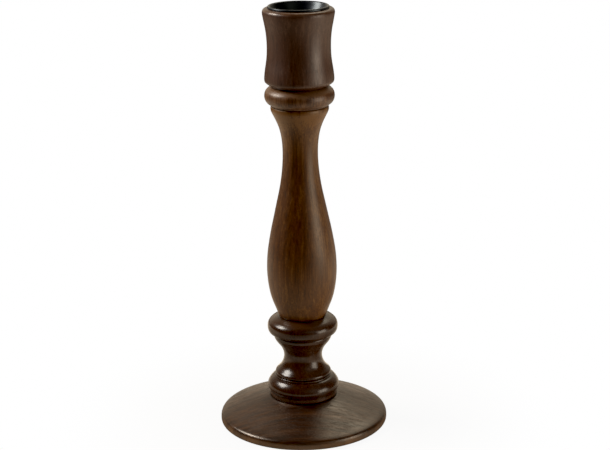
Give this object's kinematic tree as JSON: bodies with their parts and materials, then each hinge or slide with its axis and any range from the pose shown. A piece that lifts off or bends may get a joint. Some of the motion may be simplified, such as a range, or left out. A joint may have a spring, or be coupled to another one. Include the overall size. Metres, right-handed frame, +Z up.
{
  "type": "candlestick",
  "caption": "Tall turned wooden candlestick with a round conical foot, beaded pedestal, vase stem, collar bead and a waisted socket head holding a black metal candle cup that lifts out.",
  "frame": {"origin": "centre of the felt pad's underside, on the axis of the turning, where the candlestick stands on the table", "axes": "+Z up along the turning axis, from the foot to the candle cup; X and Y are equivalent, the grain of the base plate runs along X"},
  "size_m": [0.0998, 0.0998, 0.2508],
  "materials": {
    "wood_stem": "dark walnut-brown stain under satin lacquer, fine vertical grain",
    "wood_head": "dark brown stain under satin lacquer, fine vertical grain",
    "wood_collar": "slightly lighter brown stain, satin lacquer",
    "wood_pedestal": "near-black brown stain, semi-gloss lacquer",
    "wood_base": "dark brown stain under satin lacquer, grain running across the plate",
    "wood_dowel": "bare beech, fluted",
    "cup_metal": "black enamel, semi-gloss",
    "steel_hardware": "bright zinc plate",
    "felt": "dense black-brown wool felt"
  },
  "bodies": {
    "stand": {"felt_pad": "felt", "base_plate": "wood_base", "base_washer": "steel_hardware", "base_screw": "steel_hardware", "pedestal": "wood_pedestal", "stem_dowel": "wood_dowel", "stem": "wood_stem", "head_dowel": "wood_dowel", "collar_ring": "wood_collar", "socket_head": "wood_head"},
    "cup": {"candle_cup": "cup_metal"}
  },
  "joints": [
    {"name": "cup_lift", "type": "slide", "parent": "stand", "child": "cup", "axis": [0, 0, 1], "range_m": [0, 0.035]}
  ]
}
